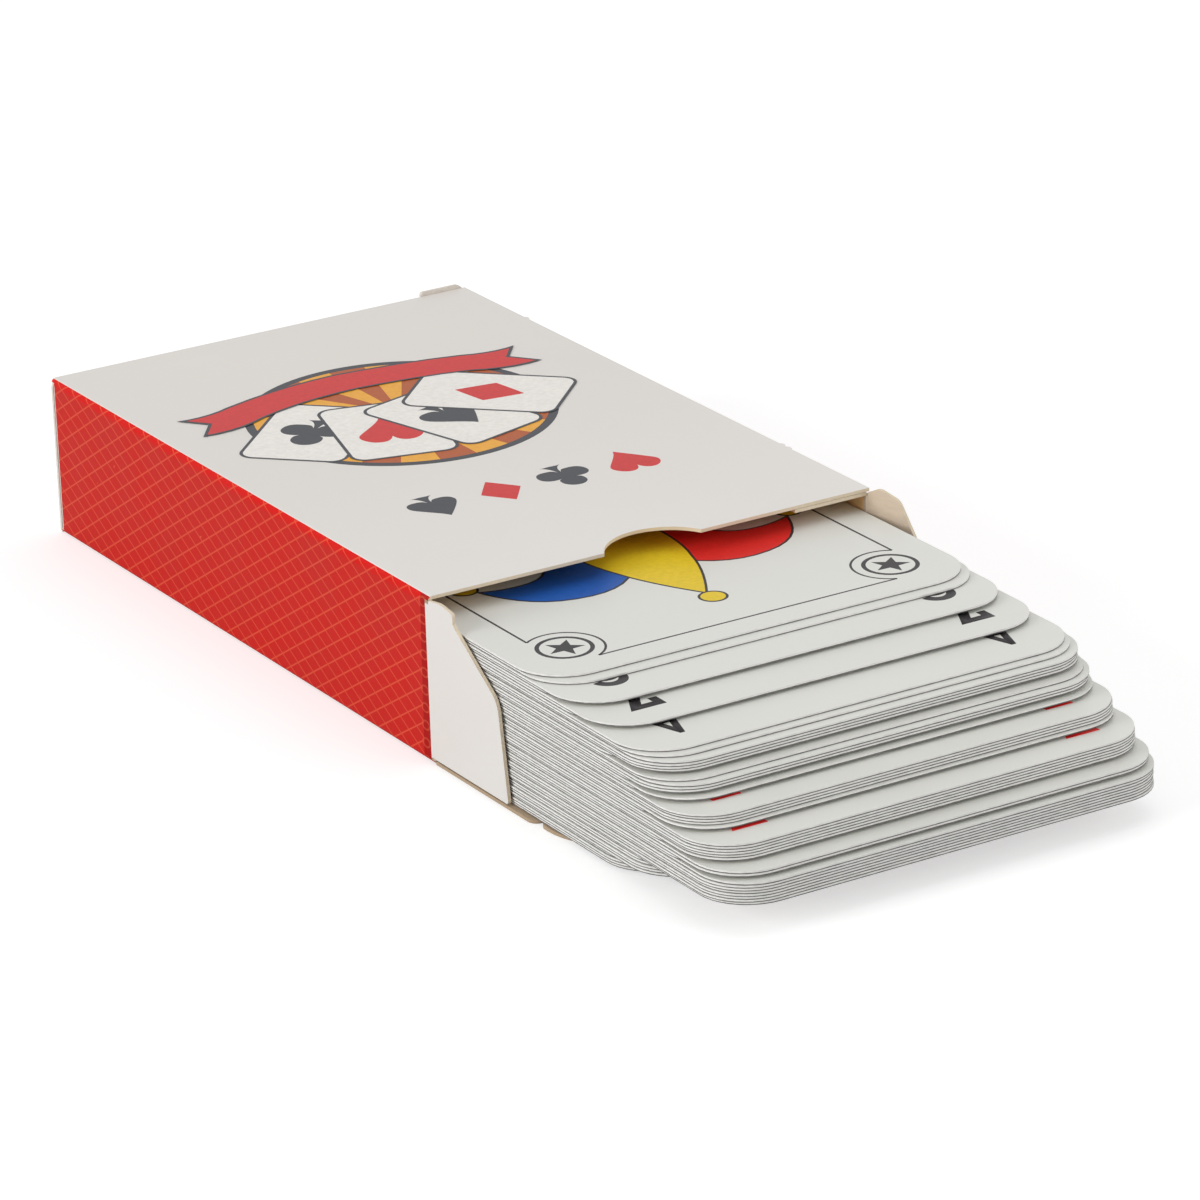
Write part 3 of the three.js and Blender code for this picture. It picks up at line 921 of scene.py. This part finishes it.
class CARDGAME_OT_dust_flaps(bpy.types.Operator):
    """Makes the two dust flaps at the open mouth, which bend at their creases"""

    bl_idname = "cardgame.dust_flaps"
    bl_label = "Dust Flaps"

    def execute(self, context):
        carton = context.scene.card_game.carton
        play, crease_inset = 0.05 * MM, 0.1 * MM
        top = TOP - carton.board - play
        crease = carton.wall_end - crease_inset
        half = carton.crease / 2
        lines = [crease + half * share for share in (-1, -0.5, 0, 0.5, 1)]
        for side, node, body, flare, crest_out, crest in (
            (-1, "dust_flap_left", "left_flap", 0.0, 2.6 * MM, 0.35 * MM),
            (1, "dust_flap_right", "right_flap", radians(15), 1.9 * MM, 0.8 * MM),
        ):
            bm = board_blank(dust_outline(top, crease, crest_out, crest, locked=side < 0), lines, carton)
            bead(bm, crease, carton)
            self.flare(bm, crease, half, flare)
            root = stand_up(bm, side, -1, carton)
            piece = finish_mesh(bm, "mouth_" + node, "coated_white", "bare_flap", "cut_edge")
            fold = root.y - crease
            bend_between(piece, "carton", body, (root.x, fold + half, 0), (root.x, fold - half, 0), node)
        return {"FINISHED"}

    def flare(self, bm, crease, half, angle):
        """Turns the flap outwards about its crease."""
        for vert in bm.verts:
            share = min(max((vert.co.y - crease + half) / (2 * half), 0.0), 1.0)
            turn = Matrix.Rotation(-angle * share, 3, "X")
            bmesh.ops.rotate(bm, verts=[vert], cent=(0, crease, 0), matrix=turn)


class CARDGAME_OT_lids(bpy.types.Operator):
    """Makes both lids with their tuck flaps: the near ones open and flat, the far ones folded shut"""

    bl_idname = "cardgame.lids"
    bl_label = "Lids"

    def execute(self, context):
        carton = context.scene.card_game.carton
        self.open_end(carton)
        self.closed_end(carton)
        return {"FINISHED"}

    def open_end(self, carton):
        """The near lid and its tuck flap, flat in front of the mouth."""
        half = carton.crease / 2
        fold = carton.lid_fold
        tuck_fold = fold + LID_DEPTH
        lid = self.lid_blank(carton, LID_DEPTH, NEAR_EAR, NEAR_EAR, [fold - half / 1.2, fold, fold + half])
        lines = [tuck_fold - half, tuck_fold, tuck_fold + half]
        tuck_end = tuck_fold + NEAR_TUCK_REACH
        tuck = self.tuck_blank(carton, LID_DEPTH, tuck_fold, tuck_end, NEAR_TUCK_HALF, lines)
        for bm, line, name, parent, child, node in (
            (lid, fold, "mouth_lid", "carton", "closing_lid", "closing_lid"),
            (tuck, tuck_fold, "mouth_tuck_flap", "closing_lid", "closing_tuck", "closing_tuck_flap"),
        ):
            bead(bm, line, carton)
            bmesh.ops.rotate(bm, verts=bm.verts, cent=(0, 0, 0), matrix=Matrix.Rotation(pi, 3, "Z"))
            bmesh.ops.translate(bm, verts=bm.verts, vec=(0, -HALF_LENGTH, 0))
            # The open lid's inside and cut edges take the darker board, painted shade.
            piece = finish_mesh(bm, name, "coated_white", "bare_lid", "bare_lid")
            middle = -HALF_LENGTH - line
            bend_between(piece, parent, child, (0, middle + half, 0), (0, middle - half, 0), node)

    def closed_end(self, carton):
        """The far lid, folded up, and its tuck flap, folded in under the front panel."""
        radius = carton.lid_fold
        arc = radius * SQUARE
        start = arc + LID_DEPTH - 2 * radius
        lines = [arc * step / 5 for step in range(1, 6)]
        lid = self.lid_blank(carton, start, *[arc - radius + ear for ear in FAR_EARS], lines)
        bends = [start + line for line in lines]
        tuck_end = start + arc + FAR_TUCK_REACH
        tuck = self.tuck_blank(carton, start, start + arc / 2, tuck_end, FAR_TUCK_HALF, bends)
        roll_up(tuck, start, radius)
        inner, outer = HALF_LENGTH, HALF_LENGTH + radius
        foot = ((0, inner, 0), (0, outer, radius))
        head = ((0, outer, LID_DEPTH - radius), (0, inner, LID_DEPTH))
        for bm, name, parent, child, node, fold in (
            (lid, "far_lid", "carton", "bottom_lid", "bottom_lid", foot),
            (tuck, "far_tuck_flap", "bottom_lid", "bottom_tuck", "bottom_tuck_flap", head),
        ):
            roll_up(bm, 0.0, radius)
            bmesh.ops.translate(bm, verts=bm.verts, vec=(0, HALF_LENGTH, 0))
            piece = finish_mesh(bm, name, "coated_white", "bare_far_lid", "bare_far_lid")
            bend_between(piece, parent, child, *fold, node)

    def lid_blank(self, carton, end, left_ear, right_ear, lines):
        """A lid panel with an ear at each side of its lock slits."""
        ear_round, slit_round = 1.2 * MM, 0.4 * MM
        return board_blank([
            (-LID_HALF, 0, 0), (LID_HALF, 0, 0), (LID_HALF, right_ear, ear_round),
            (SLIT, right_ear, slit_round), (SLIT, end, 0), (-SLIT, end, 0), (-SLIT, left_ear, slit_round),
            (-LID_HALF, left_ear, ear_round),
        ], lines, carton)

    def tuck_blank(self, carton, start, fold, end, half, lines):
        """A tuck flap with locking shoulders and round corners."""
        shoulder = fold + 2.1 * MM
        shoulder_round, corner_round = 1.2 * MM, 9 * MM
        right = [
            (TUCK_NECK, start, 0), (TUCK_NECK, shoulder, 0), (half, shoulder, shoulder_round),
            (half, end, corner_round),
        ]
        left = [(-x, y, cut) for x, y, cut in right]
        return board_blank([left[0], *right, *left[:0:-1]], lines, carton, 12)


class CARDGAME_OT_front_print(bpy.types.Operator):
    """Prints a sunburst, a fan of cards and a ribbon on the front panel"""

    bl_idname = "cardgame.front_print"
    bl_label = "Front Print"

    def execute(self, context):
        front = context.scene.card_game.front
        for ink in PRINT_INKS:
            printed_ink("print_" + ink, getattr(front, ink))
        bm = bmesh.new()
        x, y = -1 * MM, 9 * MM
        fan_foot = y + 12 * MM
        ribbon_line, ribbon_level = fan_foot + 1 * MM, TOP + LAYER * 11
        row_line, row_pitch = -21 * MM, 8.5 * MM
        set_down(bm, self.sunburst(front), x, y, TOP)
        self.fan(bm, front, x, fan_foot)
        for step, suit in enumerate(("spades", "diamonds", "clubs", "hearts")):
            set_down(bm, self.pip(suit, front.row_pip), x + (step - 1.5) * row_pitch, row_line, TOP, pi)
        ribbon = ink_stamp(curve_outline(self.ribbon(), 6), MM, LAYER, RED, CHARCOAL, front.outline)
        set_down(bm, ribbon, x, ribbon_line, ribbon_level, pi)
        piece = finish_mesh(bm, "front_print", *["print_" + ink for ink in PRINT_INKS])
        ride_on(piece, "carton")
        return {"FINISHED"}

    def pip(self, suit, size):
        """The print of a suit's sign."""
        ink = RED if suit in RED_SUITS else CHARCOAL
        return ink_stamp(curve_outline(SUITS[suit], 9), size, LAYER, ink)

    def sunburst(self, front):
        """A disc of light and dark rays in a charcoal ring."""
        rays, ring_width = 24, 1.1 * MM
        bm = bmesh.new()
        bmesh.ops.create_circle(bm, cap_ends=True, cap_tris=True, segments=4 * rays, radius=front.disc)
        for face in bm.faces:
            middle = face.calc_center_median()
            ray = int((atan2(middle.y, middle.x) + pi) / (2 * pi) * rays)
            face.material_index = BROWN if ray % 2 else AMBER
        for face in inset(bm, bm.faces[:], ring_width):
            face.material_index = CHARCOAL
        return close_stamp(bm, LAYER)

    def fan(self, bm, front, x, y):
        """Four small cards fanned out about a point, each above the one before it."""
        reach, first, spread = 17 * MM, radians(-45), radians(30)
        corner, pip_height = 2 * MM, 8.5 * MM
        wide, long = front.small_card_width / 2, front.small_card_length / 2
        card = flat_blank(rectangle(-wide, wide, -long, long, corner))
        outline = [vert.co.copy() for vert in card.faces[:][0].verts]
        card.free()
        small = ink_stamp(outline, 1.0, LAYER, PAPER, CHARCOAL, front.outline)
        for step, suit in enumerate(("clubs", "hearts", "spades", "diamonds")):
            turn = first + spread * step + pi
            spot = Vector((x, y, 0)) + Matrix.Rotation(turn, 3, "Z") @ Vector((0, reach, 0))
            height = TOP + LAYER * (2 + 2 * step)
            set_down(bm, small, spot.x, spot.y, height, turn)
            set_down(bm, self.pip(suit, pip_height), spot.x, spot.y, height + LAYER, turn)

    def ribbon(self):
        """A waved ribbon with swallow tails, in millimetres."""
        return both_halves([
            ((0, -3.4), (0, -3.4), (5, -3.4)), ((16, -0.6), (10, -2.6), (18, 0.4)),
            ((23, 0.2), (21, 0.8), (23, 0.2)), *sharp((20.5, 3.4)), ((23, 6.8), (23, 6.8), (20, 7.4)),
            ((14, 5.2), (17, 6.8), (9, 3.4)), ((0, 2.8), (5, 2.8), (0, 2.8)),
        ])


class CARDGAME_OT_cards(bpy.types.Operator):
    """Makes the fifty-two cards, each with its index in all four corners and its pips"""

    bl_idname = "cardgame.cards"
    bl_label = "Cards"

    def execute(self, context):
        cards = context.scene.card_game.cards
        signs = {rank: index_stamp(sign, cards) for rank, sign in RANK_SIGNS.items()}
        pips = {suit: ink_stamp(curve_outline(points), 1.0, cards.ink, INK) for suit, points in SUITS.items()}
        for node in CARDS[1:]:
            _, _, rank, _, suit = node.split("_")
            bm, low, high = card_blank(node, cards)
            self.print_face(bm, low, high, cards, rank, signs[rank], pips[suit])
            finish_card(bm, node, cards, "red" if suit in RED_SUITS else "black", "gold")
        return {"FINISHED"}

    def print_face(self, bm, low, high, cards, rank, sign, pip):
        """Prints the indices and the field of one card."""
        z = high.z
        pip_gap = 0.9 * MM
        column_side, row_end = 9.5 * MM, 30 * MM
        emblem_height, emblem_off, emblem_rim = 20 * MM, 14 * MM, 0.5 * MM
        court_pip, ace_pip = cards.pip * 0.8, cards.pip * 2.2
        for x, y, turn in corners_of(low, high, cards.index_side, cards.index_end):
            set_down(bm, sign, x, y, z, turn)
        below = cards.index_end + cards.index_height + pip_gap + cards.index_pip / 2
        for x, y, turn in corners_of(low, high, cards.index_side, below):
            set_down(bm, pip, x, y, z, turn, [cards.index_pip] * 2)
        middle = (low + high) / 2
        if rank in EMBLEMS:
            outline = curve_outline(EMBLEMS[rank])
            emblem = ink_stamp(outline, emblem_height, cards.ink, INK + 1, INK, emblem_rim)
            for way, turn in ((1, 0.0), (-1, pi)):
                set_down(bm, emblem, middle.x, middle.y + way * emblem_off, z, turn)
                set_down(bm, pip, middle.x, middle.y + way * row_end, z, turn, [court_pip] * 2)
            return
        size = ace_pip if rank == "ace" else cards.pip
        for column, row in ROWS[rank]:
            turn = pi if row < 0 else 0.0
            y = middle.y + row * row_end
            for side in ((-1, 1) if column else (0,)):
                set_down(bm, pip, middle.x + side * column_side, y, z, turn, [size] * 2)


class CARDGAME_OT_joker(bpy.types.Operator):
    """Makes the joker: a framed card with star roundels and a jester's cap at each end"""

    bl_idname = "cardgame.joker"
    bl_label = "Joker"

    def execute(self, context):
        cards = context.scene.card_game.cards
        cap_off = 12.5 * MM
        bm, low, high = card_blank(CARDS[0], cards)
        middle = (low + high) / 2
        for way, turn in ((1, 0.0), (-1, pi)):
            self.cap(bm, Vector((middle.x, middle.y + way * cap_off, high.z)), turn, cards)
        self.frame_lines(bm, low, high, cards)
        finish_card(bm, CARDS[0], cards, "black", "red", "blue", "gold")
        return {"FINISHED"}

    def cap(self, bm, spot, turn, cards):
        """A jester's cap with three horns, a collar and bells, in millimetres."""
        side_horn = [
            *sharp((0, -4)), ((-9, -4), (-9, -4), (-9.5, 0)), ((-14, 4.5), (-11, 4), (-16, 4.9)),
            ((-20.5, 3.5), (-18.4, 4.6), (-19.4, 6.8)), smooth(-12.5, 12, 5, 1), ((0, 4), (-4, 11), (0, 4)),
        ]
        middle_horn = both_halves([
            *sharp((0, -4)), ((6, -4), (6, -4), (6.6, -1)), ((5, 8), (6.4, 4), (4, 12)),
            ((0, 19), (1.6, 16.4), (-1.6, 16.4)),
        ])
        collar = both_halves(sharp((0, -10), (3, -5.6), (6, -10), (9, -5.2), (12, -9), (11, -3), (0, -3.2)))
        black, red, blue, gold = range(INK, INK + 4)
        layer = cards.ink / 3
        rim = 0.3 * MM
        shapes = ((side_horn, red), (mirrored(side_horn), blue), (middle_horn, gold), (collar, red))
        for level, (outline, ink) in enumerate(shapes):
            stamp = ink_stamp(curve_outline(outline, 9), MM, cards.ink, ink, black, rim)
            set_down(bm, stamp, spot.x, spot.y, spot.z + level * layer, turn)
        bell_radius, sides = 1.7, 32
        angles = [2 * pi * step / sides for step in range(sides)]
        bell = [Vector((bell_radius * cos(angle), bell_radius * sin(angle), 0)) for angle in angles]
        stamp = ink_stamp(bell, MM, cards.ink, gold, black, rim)
        spin = Matrix.Rotation(turn, 3, "Z")
        for x, y in ((-21.2, 2.4), (21.2, 2.4), (0, 20), (-6, -11), (0, -11), (6, -11)):
            at = spot + spin @ Vector((x, y, 0)) * MM
            set_down(bm, stamp, at.x, at.y, spot.z + len(shapes) * layer, turn)

    def frame_lines(self, bm, low, high, cards):
        """The thin frame, which bows in round a star roundel at each corner."""
        side, end = 4.4 * MM, 3.6 * MM
        gap_side, gap_end = 7.0 * MM, 7.6 * MM
        bow_radius, half = 4.4 * MM, 0.14 * MM
        ring_inner, ring_outer = 2.75 * MM, 3.25 * MM
        star_inner, star_outer = 0.95, 2.3
        up = sqrt(bow_radius ** 2 - (gap_side - side) ** 2)
        across = sqrt(bow_radius ** 2 - (gap_end - end) ** 2)
        z = high.z
        long = (low.y + gap_end + up, high.y - gap_end - up)
        wide = (low.x + gap_side + across, high.x - gap_side - across)
        for x in (low.x + side, high.x - side):
            set_down(bm, bar_stamp(x - half, x + half, *long, cards.ink), 0, 0, z)
        for y in (low.y + end, high.y - end):
            set_down(bm, bar_stamp(*wide, y - half, y + half, cards.ink), 0, 0, z)
        points = [
            Vector((sin(step * pi / 5), cos(step * pi / 5), 0)) * (star_inner if step % 2 else star_outer)
            for step in range(10)
        ]
        star = ink_stamp(points, MM, cards.ink, INK)
        origin = Vector((0, 0, 0))
        ring = ring_stamp(origin, ring_inner, ring_outer, 0.0, 2 * pi, cards.ink)
        first, last = atan2(end - gap_end, across), atan2(up, side - gap_side)
        bow = ring_stamp(origin, bow_radius - half, bow_radius + half, first, last, cards.ink)
        for x, y, turn in corners_of(low, high, gap_side, gap_end):
            set_down(bm, ring, x, y, z)
            set_down(bm, star, x, y, z, turn)
            flip = (1 if x < (low.x + high.x) / 2 else -1, 1 if turn == pi else -1)
            set_down(bm, bow, x, y, z, 0.0, flip)


class CARDGAME_OT_stage(bpy.types.Operator):
    """Sets the pale floor, the soft lamps, the white room and the camera"""

    bl_idname = "cardgame.stage"
    bl_label = "Stage"

    def execute(self, context):
        stage = context.scene.card_game.stage
        self.floor(stage)
        self.room(context.scene, stage)
        for name, (spot, size) in LAMPS.items():
            self.lamp(name + "_lamp", spot, size, getattr(stage, name))
        self.camera(context.scene, stage)
        context.scene.view_settings.view_transform = "Standard"
        return {"FINISHED"}

    def floor(self, stage):
        """A wide matt floor under the carton, brighter where the camera sees it."""
        reach, drop, glow = 4.0, 0.02 * MM, 0.55
        bm = bmesh.new()
        bmesh.ops.create_grid(bm, x_segments=1, y_segments=1, size=reach)
        bmesh.ops.translate(bm, verts=bm.verts, vec=(0, 0, -drop))
        finish = Finish("pale_floor", roughness=0.9, gloss=0.0)
        finish.paint(rgba(stage.floor))
        finish.set("Emission Color", (1, 1, 1, 1))
        finish.set("Emission Strength", finish.times(finish.add("LightPath", {}, "Is Camera Ray"), glow))
        finish_mesh(bm, "floor", "pale_floor")

    def room(self, scene, stage):
        """Even white light, at full strength where it is seen or mirrored."""
        world = bpy.data.worlds.new("white_room")
        world.use_nodes = True
        scene.world = world
        nodes = Nodes(world.node_tree)
        rays = [nodes.add("LightPath", {}, f"Is {kind} Ray") for kind in ("Camera", "Glossy", "Transmission")]
        direct = nodes.calc("MAXIMUM", rays[0], nodes.calc("MAXIMUM", *rays[1:]))
        background = nodes.tree.nodes["Background"].inputs
        nodes.feed(background["Color"], (1, 1, 1, 1))
        strength = nodes.add("MapRange", {0: direct, 1: 0.0, 2: 1.0, 3: stage.sky, 4: 1.0})
        nodes.feed(background["Strength"], strength)

    def lamp(self, name, spot, size, watts):
        """A large square lamp that looks at the carton."""
        data = bpy.data.lights.new(name, "AREA")
        data.size = size
        data.energy = watts
        lamp = bpy.data.objects.new(name, data)
        lamp.location = spot
        aim = Vector((0, -20 * MM, 0))
        lamp.rotation_euler = (aim - Vector(spot)).to_track_quat("-Z", "Y").to_euler()
        bpy.context.collection.objects.link(lamp)

    def camera(self, scene, stage):
        """The photograph's viewpoint, a little tilted about its line of sight."""
        azimuth, elevation, roll = -0.5395, 0.3689, -0.0339
        distance = 712.468 * MM
        aim = Vector((12.026 * MM, -13.121 * MM, 0))
        turns = ((azimuth, "Z"), (SQUARE - elevation, "X"), (roll, "Z"))
        around, over, tilt = [Matrix.Rotation(angle, 4, axis) for angle, axis in turns]
        data = bpy.data.cameras.new("camera")
        data.lens = stage.lens
        data.sensor_width = 36
        data.clip_start = 0.01
        camera = bpy.data.objects.new("camera", data)
        away = Matrix.Translation((0, 0, distance))
        camera.matrix_world = Matrix.Translation(aim) @ around @ over @ tilt @ away
        bpy.context.collection.objects.link(camera)
        scene.camera = camera


class CARDGAME_PT_panel(bpy.types.Panel):
    """Lists the pieces of the card game"""

    bl_idname = "CARDGAME_PT_panel"
    bl_label = "Card Game"
    bl_space_type = "VIEW_3D"
    bl_region_type = "UI"
    bl_category = "Card Game"

    def draw(self, context):
        settings = context.scene.card_game
        for operator in OPERATORS:
            self.layout.operator(operator.bl_idname)
        for group in (settings.carton, settings.cards, settings.front, settings.stage):
            box = self.layout.box()
            for name in group.bl_rna.properties.keys():
                if name not in ("rna_type", "name"):
                    box.prop(group, name)


OPERATORS = (
    CARDGAME_OT_sleeve, CARDGAME_OT_front_print, CARDGAME_OT_dust_flaps, CARDGAME_OT_lids,
    CARDGAME_OT_cards, CARDGAME_OT_joker, CARDGAME_OT_stage,
)
CLASSES = (
    CartonSettings, CardSettings, PrintSettings, StageSettings, CardGameSettings, *OPERATORS,
    CARDGAME_PT_panel,
)


def register():
    for item in CLASSES:
        bpy.utils.register_class(item)
    bpy.types.Scene.card_game = PointerProperty(type=CardGameSettings)


def unregister():
    del bpy.types.Scene.card_game
    for item in reversed(CLASSES):
        bpy.utils.unregister_class(item)


def main():
    """Makes every piece."""
    register()
    bpy.ops.cardgame.sleeve()
    bpy.ops.cardgame.front_print()
    bpy.ops.cardgame.dust_flaps()
    bpy.ops.cardgame.lids()
    bpy.ops.cardgame.cards()
    bpy.ops.cardgame.joker()
    bpy.ops.cardgame.stage()


if __name__ == "__main__":
    main()
